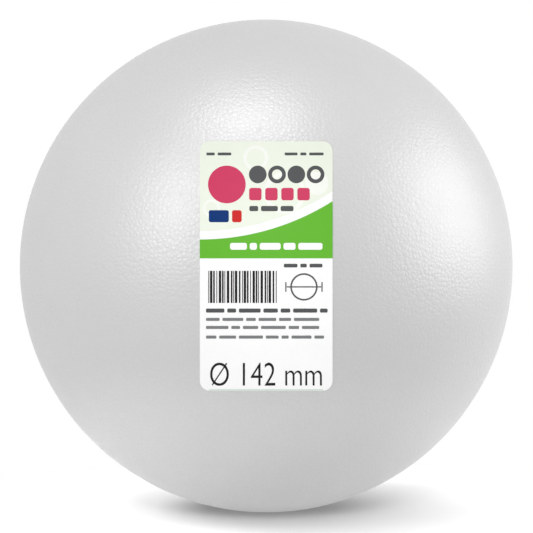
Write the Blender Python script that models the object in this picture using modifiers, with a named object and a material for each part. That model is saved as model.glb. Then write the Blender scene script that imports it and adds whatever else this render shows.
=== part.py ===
"""Smooth craft ball of expanded polystyrene with a stuck-on printed paper label.

Metres, +Z up. The origin is the ball's centre, and the label faces -Y.
"""

import math

import bpy
from mathutils import Vector

# The ball, moulded in one piece
BALL_DIAMETER = 0.142
BALL_SUBDIVISIONS = 5

# The label's paper, measured flat where it touches the ball at the label's middle
LABEL_WIDTH = 0.0331
LABEL_HEIGHT = 0.0622
LABEL_CORNER_RADIUS = 0.0025
LABEL_THICKNESS = 0.0001
LABEL_CLEARANCE = 0.0003

# The label's outline is a true rounded rectangle when seen from this far in front of the ball's centre
SIGHT_DISTANCE = 0.5

# The printed fields: how far each lower edge lies below the label's top edge
PALE_FIELD_DROP = 0.0224
GREEN_BAND_DROP = 0.0292
FIELD_ARC_RADIUS = 0.060
STRIPE_WIDTH = 0.0021

# The label's mesh
LABEL_COLUMNS = 14
CORNER_ROWS = 5
ROW_PITCH = 0.0022

# Colours as seen, red, green and blue from 0 to 255, with a roughness
FINISHES = {
    "polystyrene": ((208, 208, 208), 0.42),
    "paper_white": ((252, 252, 252), 0.35),
    "ink_pale_green": ((239, 245, 231), 0.35),
    "ink_green": ((108, 187, 62), 0.35),
}

# The label's finishes, in the order of its material slots
LABEL_FINISHES = ("paper_white", "ink_pale_green", "ink_green")


def linear(channel):
    """One colour channel, from 0 to 255 as seen, to the linear value that a shader takes."""
    share = channel / 255
    if share <= 0.04045:
        return share / 12.92
    return ((share + 0.055) / 1.055) ** 2.4


def make_material(name):
    seen, roughness = FINISHES[name]
    material = bpy.data.materials.new(name)
    material.use_nodes = True
    shader = material.node_tree.nodes["Principled BSDF"]
    colour = [linear(channel) for channel in seen]
    shader.inputs["Base Color"].default_value = (*colour, 1.0)
    shader.inputs["Roughness"].default_value = roughness
    shader.inputs["Metallic"].default_value = 0.0
    material.diffuse_color = (*colour, 1.0)
    return material


def put_in(collection, piece):
    """Move a piece from the scene's own collection to the ball's."""
    for old in list(piece.users_collection):
        old.objects.unlink(piece)
    collection.objects.link(piece)


def make_ball(collection):
    """The whole ball: one moulding with no core, seam or flat."""
    bpy.ops.mesh.primitive_ico_sphere_add(subdivisions=BALL_SUBDIVISIONS, radius=BALL_DIAMETER / 2)
    ball = bpy.context.object
    ball.name = "ball"
    ball.data.name = "ball"
    ball.data.materials.append(make_material("polystyrene"))
    ball.data.shade_smooth()
    put_in(collection, ball)
    return ball


def level(height):
    """A straight edge across the label at one height."""
    return lambda x: height


def arc(radius_gain):
    """A curved edge that leaves the label's left side level and climbs to the right."""
    low = LABEL_HEIGHT / 2 - PALE_FIELD_DROP
    radius = FIELD_ARC_RADIUS + radius_gain
    return lambda x: low + FIELD_ARC_RADIUS - math.sqrt(radius**2 - (x + LABEL_WIDTH / 2) ** 2)


def between(lower, upper, share):
    """An edge that lies a share of the way from a lower edge to an upper one."""
    return lambda x: lower(x) + (upper(x) - lower(x)) * share


def label_rows():
    """The label's rows from bottom to top: a half width, an edge, and the ink above that edge."""
    side = LABEL_WIDTH / 2 - LABEL_CORNER_RADIUS
    straight = LABEL_HEIGHT / 2 - LABEL_CORNER_RADIUS
    corner = []
    for step in range(CORNER_ROWS):
        turn = math.pi / 2 * (1 - step / CORNER_ROWS)
        half_width = side + LABEL_CORNER_RADIUS * math.cos(turn)
        corner.append((half_width, straight + LABEL_CORNER_RADIUS * math.sin(turn)))

    band_bottom = level(LABEL_HEIGHT / 2 - GREEN_BAND_DROP)
    stripe_bottom = arc(STRIPE_WIDTH)
    field_bottom = arc(0)
    fields = [
        (level(-straight), band_bottom, "paper_white"),
        (band_bottom, stripe_bottom, "ink_green"),
        (stripe_bottom, field_bottom, "paper_white"),
        (field_bottom, level(straight), "ink_pale_green"),
    ]

    rows = [(half_width, level(-height), "paper_white") for half_width, height in corner]
    for lower, upper, ink in fields:
        steps = math.ceil((upper(0) - lower(0)) / ROW_PITCH)
        for step in range(steps):
            rows.append((LABEL_WIDTH / 2, between(lower, upper, step / steps), ink))
    rows.append((LABEL_WIDTH / 2, level(straight), "ink_pale_green"))
    for half_width, height in reversed(corner):
        rows.append((half_width, level(height), "ink_pale_green"))
    return rows


def lay_on_ball(x, z):
    """Where the line of sight through a point of the flat label meets the paper's inner side."""
    radius = BALL_DIAMETER / 2 + LABEL_CLEARANCE
    eye = Vector((0, -SIGHT_DISTANCE, 0))
    ray = Vector((x, -BALL_DIAMETER / 2, z)) - eye
    along = eye.dot(ray)
    beyond = ray.length_squared * (eye.length_squared - radius**2)
    reach = (-along - math.sqrt(along**2 - beyond)) / ray.length_squared
    return eye + ray * reach


def make_label(collection):
    """The paper label, one closed skin that follows the ball, with its fields of colour."""
    rows = label_rows()
    strips = len(rows) - 1
    bpy.ops.mesh.primitive_grid_add(x_subdivisions=LABEL_COLUMNS, y_subdivisions=strips, size=2)
    label = bpy.context.object
    label.name = "label"
    label.data.name = "label"
    for name in LABEL_FINISHES:
        label.data.materials.append(make_material(name))

    # The grid spans -1 to 1 both ways, so a face's middle tells its strip
    for face in label.data.polygons:
        strip = int((face.center.y + 1) / 2 * strips)
        ink = rows[strip][2]
        face.material_index = LABEL_FINISHES.index(ink)

    for vertex in label.data.vertices:
        row = round((vertex.co.y + 1) / 2 * strips)
        half_width, edge, _ = rows[row]
        x = vertex.co.x * half_width
        vertex.co = lay_on_ball(x, edge(x))

    paper = label.modifiers.new("paper thickness", "SOLIDIFY")
    paper.thickness = LABEL_THICKNESS
    paper.offset = 1
    # The wide faces set the shading, so the paper's thin rim doesn't darken them
    label.modifiers.new("paper shading", "WEIGHTED_NORMAL")
    label.data.shade_smooth()
    put_in(collection, label)
    return label


def main():
    for old in list(bpy.data.objects):
        bpy.data.objects.remove(old, do_unlink=True)
    collection = bpy.data.collections.new("polystyrene_ball")
    bpy.context.scene.collection.children.link(collection)
    make_ball(collection)
    make_label(collection)


main()
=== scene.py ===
# %% [markdown]
# A craft ball of moulded polystyrene foam, with a printed paper label on its front.
#
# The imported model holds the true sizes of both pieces. This lesson leaves those sizes alone and makes the looks:
# the foam's skin of fused beads, the thin paper, the inks printed on it, and a plain white table to stand on.

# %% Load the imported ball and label
import math

import bpy
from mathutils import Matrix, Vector


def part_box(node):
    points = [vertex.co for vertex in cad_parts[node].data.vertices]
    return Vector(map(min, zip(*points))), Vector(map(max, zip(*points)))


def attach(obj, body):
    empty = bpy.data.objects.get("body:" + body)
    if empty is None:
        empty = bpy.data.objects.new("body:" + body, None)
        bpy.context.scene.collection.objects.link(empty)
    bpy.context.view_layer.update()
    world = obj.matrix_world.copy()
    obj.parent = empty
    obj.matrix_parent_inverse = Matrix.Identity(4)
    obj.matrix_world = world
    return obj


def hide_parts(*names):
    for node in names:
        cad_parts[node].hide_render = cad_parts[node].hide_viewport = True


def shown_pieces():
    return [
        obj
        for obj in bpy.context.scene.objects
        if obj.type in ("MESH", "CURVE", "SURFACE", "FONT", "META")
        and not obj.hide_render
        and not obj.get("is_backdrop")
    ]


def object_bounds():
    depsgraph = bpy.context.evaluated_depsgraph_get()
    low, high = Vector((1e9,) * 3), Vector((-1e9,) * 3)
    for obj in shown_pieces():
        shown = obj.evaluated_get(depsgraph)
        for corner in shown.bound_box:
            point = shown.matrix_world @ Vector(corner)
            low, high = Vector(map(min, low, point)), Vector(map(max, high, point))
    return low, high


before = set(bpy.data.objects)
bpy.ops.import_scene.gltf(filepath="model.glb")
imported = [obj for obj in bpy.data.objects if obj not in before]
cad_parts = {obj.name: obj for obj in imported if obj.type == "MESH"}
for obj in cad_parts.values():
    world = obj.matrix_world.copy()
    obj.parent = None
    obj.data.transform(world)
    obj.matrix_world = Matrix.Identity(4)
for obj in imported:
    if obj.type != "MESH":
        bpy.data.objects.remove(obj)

model_low, model_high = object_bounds()
ball_low, ball_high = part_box("ball")
label_low, label_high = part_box("label")

MM = 0.001
BALL_RADIUS = (ball_high.z - ball_low.z) / 2
print("ball radius in millimetres:", round(BALL_RADIUS / MM, 2))
print("label box in millimetres:", [round((b - a) / MM, 2) for a, b in zip(label_low, label_high)])
print("packed pieces:", sorted(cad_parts))

# %% [markdown]
# The camera stands level with the ball's centre and close to it, so the ball's outline is a little smaller than
# its true diameter. A lens is worked out from that outline: it is the one thing in a picture of a ball that can be
# measured well. The picture is square, and the ball nearly fills it.

# %% Place the camera
PICTURE_SIDE_PX = 533
OUTLINE_RADIUS_PX = 246.4
OUTLINE_CENTRE_PX = (266.2, 266.0)
EYE_DISTANCE = 0.5
SENSOR_MM = 36
CLIP_START = 0.01

eye = Vector((0, -EYE_DISTANCE, 0))
outline_angle = math.asin(BALL_RADIUS / EYE_DISTANCE)
focal_px = OUTLINE_RADIUS_PX / math.tan(outline_angle)

bpy.ops.object.select_all(action="DESELECT")
bpy.ops.object.camera_add(location=eye, rotation=(math.pi / 2, 0, 0))
camera = bpy.context.object
camera.name = "camera"
camera.data.sensor_width = SENSOR_MM
camera.data.lens = SENSOR_MM * focal_px / PICTURE_SIDE_PX
camera.data.shift_x = (PICTURE_SIDE_PX / 2 - OUTLINE_CENTRE_PX[0]) / PICTURE_SIDE_PX
camera.data.shift_y = (OUTLINE_CENTRE_PX[1] - PICTURE_SIDE_PX / 2) / PICTURE_SIDE_PX
camera.data.clip_start = CLIP_START
bpy.context.scene.camera = camera
print("lens in millimetres:", round(camera.data.lens, 1))

# %% [markdown]
# A foam ball isn't a perfect sphere. It shrinks a little unevenly as it cools in its mould, so its highlights have
# soft, slightly wandering edges. A cube that is cut finely and pushed out to a sphere has even squares all over and
# no pinched poles, which a globe's rings would have. A cloud texture then lifts and lowers the skin by a few
# hundredths of a millimetre.

# %% Shape the ball's skin
CUBE_CUTS = 100
SKIN_WAVE = 0.00008
SKIN_WAVE_WIDTH = 0.022


def settle(piece, modifier):
    """Apply one modifier to a piece for good."""
    bpy.context.view_layer.objects.active = piece
    bpy.ops.object.modifier_apply(modifier=modifier.name)


bpy.ops.object.select_all(action="DESELECT")
bpy.ops.mesh.primitive_cube_add(size=2 * BALL_RADIUS)
skin = bpy.context.object
skin.name = "foam_ball"
bpy.ops.object.mode_set(mode="EDIT")
bpy.ops.mesh.subdivide(number_cuts=CUBE_CUTS)
bpy.ops.object.mode_set(mode="OBJECT")

rounding = skin.modifiers.new("push out to a sphere", "CAST")
rounding.cast_type = "SPHERE"
rounding.factor = 1
rounding.use_radius_as_size = False
rounding.size = BALL_RADIUS
settle(skin, rounding)

clouds = bpy.data.textures.new("uneven shrinkage", "CLOUDS")
clouds.noise_scale = SKIN_WAVE_WIDTH
clouds.noise_depth = 1
waves = skin.modifiers.new("uneven shrinkage", "DISPLACE")
waves.texture = clouds
waves.texture_coords = "LOCAL"
waves.mid_level = 0.5
waves.strength = SKIN_WAVE
settle(skin, waves)
bpy.ops.object.shade_smooth()

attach(skin, "root")
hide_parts("ball")
print("faces on the skin:", len(skin.data.polygons))

# %% [markdown]
# Materials are small sums: a bead's height, a speckle, a tint. Python's own plus, minus and times signs are easier to
# read than a web of Math nodes, so one small class wraps a node's output and adds the nodes as the sum is written.
# Its node method adds every other kind of node.

# %% Write shader sums as Python sums


class Wire:
    """One output in a material, to use in a sum or to plug into another node."""

    def __init__(self, tree, socket=None):
        self.tree = tree
        self.socket = socket

    def node(self, kind, settings=None, inputs=None, output=0):
        """Add a node: first its settings, then a number, a colour or a wire for each of its inputs."""
        made = self.tree.nodes.new(kind)
        for name, value in (settings or {}).items():
            setattr(made, name, value)
        for name, value in (inputs or {}).items():
            if isinstance(value, Wire):
                self.tree.links.new(value.socket, made.inputs[name])
            else:
                made.inputs[name].default_value = value
        return Wire(self.tree, made.outputs[output])

    def other_output(self, name):
        """Another output of the same node."""
        return Wire(self.tree, self.socket.node.outputs[name])

    def maths(self, operation, *values):
        return self.node("ShaderNodeMath", {"operation": operation}, dict(enumerate(values)))

    def __add__(self, other):
        return self.maths("ADD", self, other)

    def __sub__(self, other):
        return self.maths("SUBTRACT", self, other)

    def __rsub__(self, other):
        return self.maths("SUBTRACT", other, self)

    def __mul__(self, other):
        return self.maths("MULTIPLY", self, other)

    __radd__ = __add__
    __rmul__ = __mul__

    def ease(self, low, high):
        """A smooth step: 0 up to the low value, 1 from the high one on."""
        settings = {"interpolation_type": "SMOOTHSTEP"}
        span = {"Value": self, "From Min": low, "From Max": high}
        return self.node("ShaderNodeMapRange", settings, span)

    def tint(self, dark, light):
        """A colour that goes from the dark one, at 0, to the light one, at 1."""
        settings = {"data_type": "RGBA"}
        mixed = {"Factor": self, "A": (*dark, 1), "B": (*light, 1)}
        return self.node("ShaderNodeMix", settings, mixed, output="Result")

# %% [markdown]
# A new material starts with the place of each point on the piece, in metres, because a pattern has a real size: the
# fused beads are about a millimetre wide. Colours are written as they look, from 0 to 255, and turned into the
# amounts of light that a shader works with.

# %% Start a material


def light_of(seen):
    """A colour as seen, from 0 to 255, as amounts of light, by the curve that all screens use."""
    light = []
    for channel in seen:
        share = channel / 255
        if share <= 0.04045:
            light.append(share / 12.92)
        else:
            light.append(((share + 0.055) / 1.055) ** 2.4)
    return tuple(light)


def shaded(colour, share):
    """The same colour, with a share of its light."""
    return tuple(channel * share for channel in colour)


def grey(light):
    """An even grey, from its amount of light."""
    return (light, light, light)


def start_material(name):
    """A new material, its main shader, and the place on the piece to draw patterns by."""
    material = bpy.data.materials.new(name)
    material.use_nodes = True
    tree = material.node_tree
    shader = tree.nodes["Principled BSDF"]
    place = Wire(tree).node("ShaderNodeTexCoord", output="Object")
    return material, shader, place


def plug(shader, name, wire):
    """Join a wire to one socket of a shader."""
    wire.tree.links.new(wire.socket, shader.inputs[name])


print("a middle grey as light:", [round(channel, 3) for channel in light_of((128, 128, 128))])

# %% [markdown]
# Up close, the skin of a moulded foam ball is a leathery mosaic. Each bead has swollen until it met its neighbours
# and was pressed flat against the hot mould, so the beads are low pebbles with fine valleys between them. Voronoi
# cells grow in the same way: the distance to a cell's edge gives the valley, and the distance to its middle, squared,
# gives the round top. A slow drift under the pebbles keeps them from being all alike. They are far too small for a
# mesh, so they are a bump.

# %% The height of the fused beads
BEAD_WIDTH = 0.0011
BEAD_DEPTH = 0.00005
BEAD_UNEVENNESS = 0.85
BEAD_SOFTNESS = 0.35
RIM_WIDTH = 0.3
RIM_SHARE = 0.35
DOME_SHARE = 0.9
DRIFT_IN_BEADS = 6
DRIFT_SHARE = 0.6

foam, foam_shader, place = start_material("foam_of_fused_beads")
drift_scale = 1 / (DRIFT_IN_BEADS * BEAD_WIDTH)
drift = place.node("ShaderNodeTexNoise", {}, {"Vector": place, "Scale": drift_scale, "Detail": 2})
cells = {"Vector": place, "Scale": 1 / BEAD_WIDTH, "Randomness": BEAD_UNEVENNESS}
soft_cells = {**cells, "Smoothness": BEAD_SOFTNESS}
edge = place.node("ShaderNodeTexVoronoi", {"feature": "DISTANCE_TO_EDGE"}, cells)
middle = place.node("ShaderNodeTexVoronoi", {"feature": "SMOOTH_F1"}, soft_cells)
dome = edge.ease(0, RIM_WIDTH) * RIM_SHARE + (1 - middle * middle) * DOME_SHARE
skin_height = dome + drift * DRIFT_SHARE
bump = place.node("ShaderNodeBump", {}, {"Height": skin_height, "Distance": BEAD_DEPTH, "Strength": 1.0})
plug(foam_shader, "Normal", bump)
print("bead width and depth in millimetres:", round(BEAD_WIDTH / MM, 2), round(BEAD_DEPTH / MM, 2))

# %% [markdown]
# The foam is a pale grey-white with the faintest mottling, and painted shade makes its colour a touch darker in the
# valleys between the beads. The skin has a soft shine: a middling roughness and a strong reflection. The beads' tops,
# which touched the mould, are smoother than the valleys, so the grain also shows inside the lamps' glows.

# %% The foam's tone and shine
FOAM_LIGHT = 0.60
FOAM_DARKEST = 0.965
FOAM_LIGHTEST = 1.02
FOAM_IOR = 2.2
BEAD_TOP_ROUGHNESS = 0.36
VALLEY_WIDTH = 0.13
VALLEY_ROUGHER = 0.11
DRIFT_ROUGHER = 0.06
MOTTLES_PER_METRE = 45
MOTTLE_SPAN = (0.25, 0.75)
MOTTLE_SHARE = 0.45

valley = 1 - edge.ease(0, VALLEY_WIDTH)
mottle = place.node("ShaderNodeTexNoise", {}, {"Vector": place, "Scale": MOTTLES_PER_METRE, "Detail": 3})
# The colour's tone is a random mottle plus painted shade, which darkens the valleys between the beads.
tone = mottle.ease(*MOTTLE_SPAN) * MOTTLE_SHARE + (1 - valley) * (1 - MOTTLE_SHARE)
plug(foam_shader, "Base Color", tone.tint(grey(FOAM_LIGHT * FOAM_DARKEST), grey(FOAM_LIGHT * FOAM_LIGHTEST)))
plug(foam_shader, "Roughness", valley * VALLEY_ROUGHER + drift * DRIFT_ROUGHER + BEAD_TOP_ROUGHNESS)
foam_shader.inputs["IOR"].default_value = FOAM_IOR
skin.data.materials.append(foam)
print("nodes in the foam:", len(foam.node_tree.nodes))

# %% [markdown]
# The label was cut flat and then pressed onto the ball. It is made in the same order here: each print is drawn flat on
# the upright plane that touches the ball at its front, and then laid on the skin. A mesh for each ink starts empty,
# and shapes are added to it in edit mode, at their place and size.

# %% Draw flat shapes on the upright sheet
UPRIGHT = (math.pi / 2, 0, 0)
CORNER_STEPS = 6
DISC_STEPS = 64


def spot(x, z):
    """A point of the flat sheet, from millimetres across and up."""
    return (x * MM, -BALL_RADIUS, z * MM)


def start_sheet(name):
    """An empty mesh in edit mode, ready for flat shapes."""
    bpy.ops.object.select_all(action="DESELECT")
    bpy.ops.object.add(type="MESH")
    sheet = bpy.context.object
    sheet.name = name
    sheet.data.name = name
    bpy.ops.object.mode_set(mode="EDIT")
    bpy.ops.mesh.select_mode(type="VERT")
    return sheet


def draw_bar(x, z, width, height, corner=0):
    """A bar around a point, with its corners rounded by so much, all in millimetres."""
    bpy.ops.mesh.select_all(action="DESELECT")
    bpy.ops.mesh.primitive_plane_add(size=1, location=spot(x, z), rotation=UPRIGHT)
    bpy.ops.transform.resize(value=(width * MM, 1, height * MM), center_override=spot(x, z))
    if corner > 0:
        bpy.ops.mesh.bevel(affect="VERTICES", offset=corner * MM, segments=CORNER_STEPS)


def draw_disc(x, z, radius, hole=0, steps=DISC_STEPS):
    """A disc, or a ring around a hole."""
    bpy.ops.mesh.select_all(action="DESELECT")
    bpy.ops.mesh.primitive_circle_add(
        vertices=steps, radius=radius * MM, fill_type="NGON", location=spot(x, z), rotation=UPRIGHT
    )
    if hole > 0:
        bpy.ops.mesh.inset(thickness=(radius - hole) * MM)
        bpy.ops.mesh.delete(type="FACE")

# %% [markdown]
# A flat sheet bends onto a ball only if it has enough points. So every sheet is diced with straight cuts, which reach
# a little past the paper's edges. Then the Cast modifier moves its points onto a sphere around the eye, which turns
# every face towards the eye, and Shrinkwrap drops them along those lines onto the skin. Seen from the camera, nothing
# has moved sideways, so straight edges stay straight there. Solidify gives the sheet its thickness at the end,
# outwards.

# %% Lay a sheet on the ball
DICE = 1.2 * MM
DICED_ACROSS = 0.018
DICED_UP = 0.033
TINY = 0.002 * MM
BEFORE_BALL = 1 * MM
SMOOTH_BELOW = math.radians(40)

bpy.ops.object.select_all(action="DESELECT")
bpy.ops.object.empty_add(location=eye)
eye_point = bpy.context.object
eye_point.name = "eye_point"


def dice():
    """Cut the sheet that is in edit mode into small squares."""
    reach_x = math.ceil(DICED_ACROSS / DICE)
    reach_z = math.ceil(DICED_UP / DICE)
    cuts = [((step * DICE, 0, 0), (1, 0, 0)) for step in range(-reach_x, reach_x + 1)]
    cuts += [((0, 0, step * DICE), (0, 0, 1)) for step in range(-reach_z, reach_z + 1)]
    for point, across in cuts:
        bpy.ops.mesh.select_all(action="SELECT")
        bpy.ops.mesh.bisect(plane_co=point, plane_no=across)
    bpy.ops.mesh.select_all(action="SELECT")
    bpy.ops.mesh.remove_doubles(threshold=TINY)
    bpy.ops.mesh.dissolve_degenerate(threshold=TINY)


def lay_on_ball(sheet, height, thickness):
    """Finish a flat sheet: dice it, drop it onto the skin, thicken it, and stick it to the ball."""
    dice()
    bpy.ops.object.mode_set(mode="OBJECT")

    face_eye = sheet.modifiers.new("face the eye", "CAST")
    face_eye.cast_type = "SPHERE"
    face_eye.object = eye_point
    face_eye.factor = 1
    face_eye.use_radius_as_size = False
    face_eye.size = EYE_DISTANCE - BALL_RADIUS - BEFORE_BALL
    settle(sheet, face_eye)

    drop = sheet.modifiers.new("drop onto the skin", "SHRINKWRAP")
    drop.target = skin
    drop.wrap_method = "PROJECT"
    drop.wrap_mode = "ABOVE_SURFACE"
    drop.use_negative_direction = True
    drop.offset = height
    settle(sheet, drop)

    thicken = sheet.modifiers.new("thickness", "SOLIDIFY")
    thicken.thickness = thickness
    thicken.offset = 1
    settle(sheet, thicken)
    bpy.ops.object.shade_smooth_by_angle(angle=SMOOTH_BELOW)

    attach(sheet, "root")
    low = min(vertex.co.length for vertex in sheet.data.vertices) - BALL_RADIUS
    high = max(vertex.co.length for vertex in sheet.data.vertices) - BALL_RADIUS
    print(sheet.name, "lies", round(low / MM, 3), "to", round(high / MM, 3), "mm above the ball's true radius")

# %% [markdown]
# The paper is a tall rounded rectangle, 33 by 62 millimetres, with corners as of a playing card. It lies a twentieth
# of a millimetre off the foam, where its glue is.

# %% Cut and lay the paper
LABEL_WIDTH = 33.1
LABEL_HEIGHT = 62.2
LABEL_CORNER = 2.5
PAPER_LIFT = 0.05 * MM
PAPER_THICKNESS = 0.1 * MM

paper = start_sheet("label_paper")
draw_bar(0, 0, LABEL_WIDTH, LABEL_HEIGHT, LABEL_CORNER)
lay_on_ball(paper, PAPER_LIFT, PAPER_THICKNESS)
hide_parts("label")

# %% [markdown]
# Ink on coated paper is even, but never quite flat: the paper's fibres show through as a faint cloud, and the surface
# has a very fine tooth. The inks hardly shine, so even the dark ones keep their full depth under a white room. One
# function makes every ink, and the bare paper too, from its colour.

# %% Paper and inks
INK_SHINE = 0.1
INK_ROUGHNESS = 0.5
FIBRE_ROUGHER = 0.1
FIBRE_HEIGHT = 0.000003
FIBRES_PER_METRE = 2600
CLOUDS_PER_METRE = 260
CLOUD_SPAN = (0.3, 0.7)
INK_DARKEST = 0.975


def make_ink(name, seen):
    """A printed colour, or bare paper, with a faint fibre in its tone and its surface."""
    material, shader, place = start_material(name)
    fibre = place.node("ShaderNodeTexNoise", {}, {"Vector": place, "Scale": FIBRES_PER_METRE, "Detail": 3})
    cloud = place.node("ShaderNodeTexNoise", {}, {"Vector": place, "Scale": CLOUDS_PER_METRE, "Detail": 2})
    colour = light_of(seen)
    tone = fibre * 0.5 + cloud * 0.5
    plug(shader, "Base Color", tone.ease(*CLOUD_SPAN).tint(shaded(colour, INK_DARKEST), colour))
    plug(shader, "Roughness", fibre * FIBRE_ROUGHER + (INK_ROUGHNESS - FIBRE_ROUGHER / 2))
    shader.inputs["Specular IOR Level"].default_value = INK_SHINE
    tooth = place.node("ShaderNodeBump", {}, {"Height": fibre, "Distance": FIBRE_HEIGHT, "Strength": 1.0})
    plug(shader, "Normal", tooth)
    return material


INKS = {
    "paper": (252, 252, 252),
    "pale_green": (239, 245, 231),
    "faint_green": (247, 250, 243),
    "edge_green": (205, 223, 208),
    "green": (103, 184, 54),
    "pink": (208, 64, 101),
    "grey": (84, 86, 87),
    "soft_grey": (125, 127, 128),
    "black": (30, 30, 32),
    "blue": (6, 52, 115),
    "red": (206, 42, 40),
    "white": (252, 252, 252),
}
inks = {name: make_ink("ink_" + name, seen) for name, seen in INKS.items()}
paper.data.materials.append(inks["paper"])
print("inks:", ", ".join(INKS))

# %% [markdown]
# The upper part of the label is pale green down to a curve, then comes a white stripe, and below it a green band with
# a straight lower edge. The curve is part of a circle, so each field starts as a large disc or ring around that
# circle's centre, and straight cuts trim it to the label's sides. The white stripe is bare paper between them.

# %% Print the pale field and the green band
INK_THICKNESS = 0.01 * MM
FIELD_LIFT = 0.16 * MM
FIELD_DROP = 22.4
BAND_DROP = 29.2
FIELD_ARC = 60.0
STRIPE = 2.1
ARC_STEPS = 360
FIELD_CORNER_STEPS = 8
CORNER_ZONE = 0.1

label_top = LABEL_HEIGHT / 2
label_side = LABEL_WIDTH / 2
arc_x = -label_side
arc_z = label_top - FIELD_DROP + FIELD_ARC


def trim(point, outward):
    """Cut the whole sheet with a straight line and drop what lies outside it."""
    bpy.ops.mesh.select_all(action="SELECT")
    bpy.ops.mesh.bisect(plane_co=spot(*point), plane_no=outward, clear_outer=True)


def pick_points(wanted):
    """Select the sheet's points whose place, in millimetres across and up, is wanted."""
    sheet = bpy.context.object
    bpy.ops.mesh.select_all(action="DESELECT")
    bpy.ops.object.mode_set(mode="OBJECT")
    for point in sheet.data.vertices:
        point.select = wanted(point.co.x / MM, point.co.z / MM)
    bpy.ops.object.mode_set(mode="EDIT")


field = start_sheet("print_pale_field")
draw_disc(arc_x, arc_z, FIELD_ARC, steps=ARC_STEPS)
trim((-label_side, 0), (-1, 0, 0))
trim((label_side, 0), (1, 0, 0))
trim((0, label_top), (0, 0, 1))
pick_points(lambda x, z: z > label_top - CORNER_ZONE and abs(x) > label_side - CORNER_ZONE)
bpy.ops.mesh.bevel(affect="VERTICES", offset=LABEL_CORNER * MM, segments=FIELD_CORNER_STEPS)
lay_on_ball(field, FIELD_LIFT, INK_THICKNESS)
field.data.materials.append(inks["pale_green"])

band = start_sheet("print_green_band")
draw_disc(arc_x, arc_z, 2 * FIELD_ARC, hole=FIELD_ARC + STRIPE, steps=ARC_STEPS)
trim((-label_side, 0), (-1, 0, 0))
trim((label_side, 0), (1, 0, 0))
trim((0, label_top - BAND_DROP), (0, 0, -1))
trim((0, label_top), (0, 0, 1))
lay_on_ball(band, FIELD_LIFT, INK_THICKNESS)
band.data.materials.append(inks["green"])

# %% [markdown]
# The marks on the fields are plain shapes: faint beads, a thin line near the lower edge, a row of beads, a row of
# squares, a pink ball, small colour swatches, and lines of dashes that stand in for small print. Everything in one
# colour is one sheet, as it would be one plate on the printing press. The faint beads lie a little lower than the
# other marks, which cross them.

# %% Print the faint beads and the edge line
MARK_LIFT = 0.19 * MM
FAINT_LIFT = 0.175 * MM

# Each faint bead: its place across and up, its radius, and its hole's radius
FAINT_BEADS = [
    (-2.6, 26.9, 3.1, 2.3),
    (4.6, 18.2, 5.2, 4.1),
    (12.6, 20.6, 2.9, 0),
    (-13.6, 14.4, 2.2, 1.5),
]
# The line's place across and up, its width and its height
EDGE_LINE = (0, -30.85, 28.4, 0.24)


def print_marks(name, ink, height=MARK_LIFT):
    """Stick the sheet that was just drawn on the ball, in its ink."""
    sheet = bpy.context.object
    sheet.name = name
    lay_on_ball(sheet, height, INK_THICKNESS)
    sheet.data.materials.append(inks[ink])


start_sheet("print_faint_beads")
for x, z, radius, hole in FAINT_BEADS:
    draw_disc(x, z, radius, hole)
print_marks("print_faint_beads", "faint_green", FAINT_LIFT)

start_sheet("print_edge_line")
draw_bar(*EDGE_LINE)
print_marks("print_edge_line", "edge_green")

# %% [markdown]
# Small print is never read from a step away: it is a line of dashes with small gaps. So each line is a list of its
# words' lengths. The row of beads alternates full ones and rings.

# %% Print the greys
WORD_GAP = 0.7
WORD_ROUNDING = 0.3
ROW_COUNT = 4
BEAD_ROW_START = (-2.1, 22.8)
BEAD_ROW_PITCH = 4.8
BEAD_ROW_RADIUS = 2.2
BEAD_ROW_HOLE = 1.25

# Each line: where it starts across and up, its words' lengths, and their height
UPPER_GREY_LINES = [
    (-14.9, 27.9, (2.1, 3.4), 0.7),
    (4.6, 27.9, (3.2, 1.5, 3.6), 0.7),
]
LOWER_GREY_LINES = [
    (-4.2, 14.3, (2.2, 4.2, 3.2), 1.3),
    (4.4, 0.1, (3.4, 1.6, 3.2), 0.9),
    (-15.0, -11.1, (4.6, 2.2, 5.4, 3.6, 2.4, 6.0, 1.9), 1.0),
]
SOFT_GREY_LINES = [
    (-15.0, -13.3, (3.4, 5.2, 2.4, 4.4, 3.0, 6.3), 0.75),
    (-15.0, -15.3, (5.6, 2.2, 3.8, 6.2, 2.6, 4.3), 0.75),
    (-15.0, -17.7, (2.6, 4.2, 6.0, 3.2, 1.8, 5.0, 2.4), 0.75),
]


def draw_lines(lines):
    """Lines of dashes, like the words of small print."""
    for x, z, widths, height in lines:
        for width in widths:
            draw_bar(x + width / 2, z, width, height, corner=height * WORD_ROUNDING)
            x = x + width + WORD_GAP


start_sheet("print_grey")
draw_lines(UPPER_GREY_LINES)
row_x, row_z = BEAD_ROW_START
for step in range(ROW_COUNT):
    draw_disc(row_x + BEAD_ROW_PITCH * step, row_z, BEAD_ROW_RADIUS, hole=(step % 2) * BEAD_ROW_HOLE)
draw_lines(LOWER_GREY_LINES)
print_marks("print_grey", "grey")

start_sheet("print_soft_grey")
draw_lines(SOFT_GREY_LINES)
print_marks("print_soft_grey", "soft_grey")

# %% [markdown]
# The bright colours are one large pink ball with a row of squares beside it, a blue and a red swatch below, and a
# white line of dashes on the green band.

# %% Print the bright colours and the white
PINK_BALL = (-9.8, 20.3, 4.7)
SQUARE_ROW_START = (-2.7, 17.9)
SQUARE_ROW_PITCH = 4.0
SQUARE_SIDE = 3.1
SQUARE_CORNER = 0.6

# Each swatch: its place across and up, its width and its height
BLUE_SWATCH = (-11.8, 12.4, 5.0, 3.0)
RED_SWATCH = (-7.3, 12.4, 2.4, 3.0)
SWATCH_CORNER = 0.5
WHITE_LINES = [(-9.0, 4.9, (4.2, 1.8, 5.2, 3.0, 6.0), 1.7)]

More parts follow.
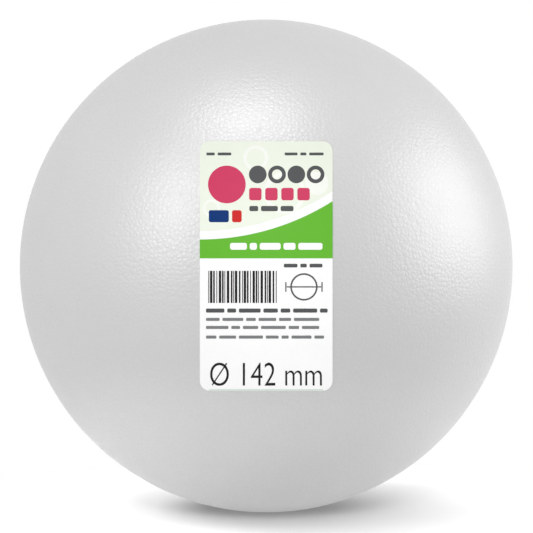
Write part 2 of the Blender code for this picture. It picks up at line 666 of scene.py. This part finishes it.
start_sheet("print_pink")
draw_disc(*PINK_BALL)
row_x, row_z = SQUARE_ROW_START
for step in range(ROW_COUNT):
    draw_bar(row_x + SQUARE_ROW_PITCH * step, row_z, SQUARE_SIDE, SQUARE_SIDE, corner=SQUARE_CORNER)
print_marks("print_pink", "pink")

start_sheet("print_blue")
draw_bar(*BLUE_SWATCH, corner=SWATCH_CORNER)
print_marks("print_blue", "blue")

start_sheet("print_red")
draw_bar(*RED_SWATCH, corner=SWATCH_CORNER)
print_marks("print_red", "red")

start_sheet("print_white")
draw_lines(WHITE_LINES)
print_marks("print_white", "white")

# %% [markdown]
# The block of upright bars is a plain rhythm of three widths, and stands for no number. The ring with a line through
# it is the drawing-office sign for a diameter, with a short stop at each end of its line.

# %% Print the bars and the diameter sign
BAR_UNIT = 0.2
BAR_COUNT = 25
BAR_HEIGHT = 8.0
BAR_START = -14.4
SIGN_X = 9.4
SIGN_Z = -5.2
RING_RADIUS = 3.4
RING_HOLE = 3.0
LINE_LENGTH = 8.6
LINE_WIDTH = 0.3
STOP_X = 4.5
STOP_HEIGHT = 2.4

start_sheet("print_black")
bar_left = BAR_START
for step in range(BAR_COUNT):
    bar_width = BAR_UNIT * (1 + step * 2 % 3)
    draw_bar(bar_left + bar_width / 2, SIGN_Z, bar_width, BAR_HEIGHT)
    bar_left = bar_left + bar_width + BAR_UNIT * (1 + step // 2 % 2)
print_marks("print_black", "black")

start_sheet("print_gauge")
draw_disc(SIGN_X, SIGN_Z, RING_RADIUS, hole=RING_HOLE)
draw_bar(SIGN_X, SIGN_Z, LINE_LENGTH, LINE_WIDTH)
for side in (-1, 1):
    draw_bar(SIGN_X + side * STOP_X, SIGN_Z, LINE_WIDTH, STOP_HEIGHT)
print_marks("print_gauge", "grey")

# %% [markdown]
# The size at the bottom is drawn with Blender's own letters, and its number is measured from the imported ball. The
# letters are thinned, narrowed and turned into a mesh, because labels use a light and narrow face.

# %% Print the size
SIZE_Z = -27.3
SIZE_LETTERS = 8.4
NARROWING = 0.77
THINNING = -0.00006
DIAMETER_SIGN = "\N{LATIN CAPITAL LETTER O WITH STROKE}"

bpy.ops.object.select_all(action="DESELECT")
bpy.ops.object.text_add(location=spot(0, SIZE_Z), rotation=UPRIGHT)
size_text = bpy.context.object
size_text.data.body = f"{DIAMETER_SIGN} {BALL_RADIUS * 2 / MM:.0f} mm"
size_text.data.size = SIZE_LETTERS * MM
size_text.data.align_x = "CENTER"
size_text.data.align_y = "CENTER"
size_text.data.offset = THINNING
size_text.scale.x = NARROWING
bpy.ops.object.convert(target="MESH")
bpy.ops.object.transform_apply(location=True, rotation=True, scale=True)
bpy.ops.object.mode_set(mode="EDIT")
print_marks("print_size", "black")

# %% [markdown]
# The table is matte and as white as the room, so that only the ball's soft shadow shows on it. Two kinds of rays meet
# it. Those that look at it, or mirror it, see a lit white surface with the shadow, and farther out than the shadow an
# even white. Those that only carry its light to the ball see an even glow, as from a table that is far wider than the
# shadow. The Light Path node tells them apart, here and in the world.

# %% Stand the ball on a white table
TABLE_SIDE = 4
TABLE_LIGHT = 0.5
TABLE_DARKEST = 0.99
TABLE_GLOW = 0.845
SHADOW_REACH = 0.065
WHITE_BEYOND = 0.12
SPECKS_PER_METRE = 30
WHITE = (1, 1, 1, 1)


def looked_at(tree):
    """1 for rays that look at a surface, mirror it or see it through glass, and 0 for all others."""
    camera_ray = Wire(tree).node("ShaderNodeLightPath", output="Is Camera Ray")
    return camera_ray + camera_ray.other_output("Is Glossy Ray") + camera_ray.other_output("Is Transmission Ray")


bpy.ops.object.select_all(action="DESELECT")
bpy.ops.mesh.primitive_plane_add(size=TABLE_SIDE, location=(0, 0, -BALL_RADIUS))
table = bpy.context.object
table.name = "table"
table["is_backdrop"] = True

table_top, table_shader, place = start_material("white_table")
speck = place.node("ShaderNodeTexNoise", {}, {"Vector": place, "Scale": SPECKS_PER_METRE, "Detail": 2})
plug(table_shader, "Base Color", speck.tint(grey(TABLE_LIGHT * TABLE_DARKEST), grey(TABLE_LIGHT)))
table_shader.inputs["Roughness"].default_value = 1
table_shader.inputs["Specular IOR Level"].default_value = 0
lit = Wire(place.tree, table_shader.outputs["BSDF"])
white = place.node("ShaderNodeEmission", {}, {"Color": WHITE, "Strength": 1})
glow = place.node("ShaderNodeEmission", {}, {"Color": WHITE, "Strength": TABLE_GLOW})
away = place.node("ShaderNodeVectorMath", {"operation": "LENGTH"}, {"Vector": place}, output="Value")
seen = place.node("ShaderNodeMixShader", {}, {0: away.ease(SHADOW_REACH, WHITE_BEYOND), 1: lit, 2: white})
both = place.node("ShaderNodeMixShader", {}, {0: looked_at(place.tree), 1: glow, 2: seen})
plug(place.tree.nodes["Material Output"], "Surface", both)
table.data.materials.append(table_top)
print("nodes in the table:", len(table_top.node_tree.nodes))

# %% [markdown]
# Three softboxes light the ball: one high in front, one low at the left, and one wide at the right. Mirrored in the
# rough skin, they are the three pale glows on the foam. Each lamp is placed by the direction it shines from and
# turned to face the ball. The paper has a lamp of its own, aimed so that it and the table's glow together are even
# over the whole label. Three more lamps light only the table and shape the shadow: a wide one overhead, and two small
# low ones in front and at the left. Light linking gives each lamp the list of the things that it lights.

# %% Set up the lamps
NEAR_LAMPS = 0.9
TABLE_LAMPS = 1.2
OVERHEAD_LAMP = 1.6


def aim(azimuth, elevation):
    """The direction from the ball to a lamp. Azimuth 0 is in front, 90 at the right."""
    turn = math.radians(azimuth)
    rise = math.radians(elevation)
    return Vector((math.sin(turn) * math.cos(rise), -math.cos(turn) * math.cos(rise), math.sin(rise)))


def add_lamp(name, place_of_lamp, width, height, watts, lit_group):
    """A softbox that faces the ball and lights one group of things."""
    bpy.ops.object.light_add(type="AREA", location=place_of_lamp)
    lamp = bpy.context.object
    lamp.name = name
    lamp.rotation_euler = place_of_lamp.to_track_quat("Z", "Y").to_euler()
    lamp.data.shape = "RECTANGLE"
    lamp.data.size = width
    lamp.data.size_y = height
    lamp.data.energy = watts
    lamp.light_linking.receiver_collection = lit_group


foam_group = bpy.data.collections.new("foam")
label_group = bpy.data.collections.new("label")
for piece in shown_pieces():
    if piece == skin:
        foam_group.objects.link(piece)
    else:
        label_group.objects.link(piece)
table_group = bpy.data.collections.new("table")
table_group.objects.link(table)

# Each lamp: its name, azimuth and elevation in degrees, distance, width and height in metres, watts, and group
LAMPS = [
    ("lamp_top", -12.5, 64.5, NEAR_LAMPS, 0.52, 0.28, 2.80, foam_group),
    ("lamp_left", -41, 23, NEAR_LAMPS, 0.38, 0.60, 2.85, foam_group),
    ("lamp_right", 90, 18, NEAR_LAMPS, 0.80, 0.66, 4.66, foam_group),
    ("lamp_label", 0, 28, NEAR_LAMPS, 0.5, 0.5, 4.9, label_group),
    ("lamp_over_table", 0, 90, OVERHEAD_LAMP, 6.0, 6.0, 312, table_group),
    ("lamp_before_table", 0, 15, TABLE_LAMPS, 0.5, 0.5, 26.5, table_group),
    ("lamp_beside_table", -90, 35, TABLE_LAMPS, 0.5, 0.5, 13.6, table_group),
]
bpy.ops.object.select_all(action="DESELECT")
for name, azimuth, elevation, distance, width, height, watts, lit_group in LAMPS:
    add_lamp(name, aim(azimuth, elevation) * distance, width, height, watts, lit_group)
    print(name, "lights:", lit_group.name)

# %% [markdown]
# The world is a plain white room. It shows as white behind the ball and in its shine, and gives the ball only a little
# even light, so that the three softboxes model its roundness. The Standard view keeps colours as they are written.

# %% Fill the room with a little even light
WORLD_LIGHT = 0.2

world = bpy.data.worlds.new("plain white room")
world.use_nodes = True
bpy.context.scene.world = world
room = world.node_tree.nodes["Background"]
room.inputs["Color"].default_value = WHITE
plug(room, "Strength", looked_at(world.node_tree) * (1 - WORLD_LIGHT) + WORLD_LIGHT)

bpy.context.scene.view_settings.view_transform = "Standard"
print("share of the room's light that reaches the ball:", WORLD_LIGHT)

# %% [markdown]
# Last, the dressed ball's box is printed beside the imported model's box, to see that the looks haven't changed the
# size.

# %% Measure and finish
dressed_low, dressed_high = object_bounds()
sizes = {
    "packed": [list(model_low), list(model_high)],
    "dressed": [list(dressed_low), list(dressed_high)],
}
for name, (low, high) in sizes.items():
    print(name, "box in millimetres:", [round((b - a) / MM, 2) for a, b in zip(low, high)])
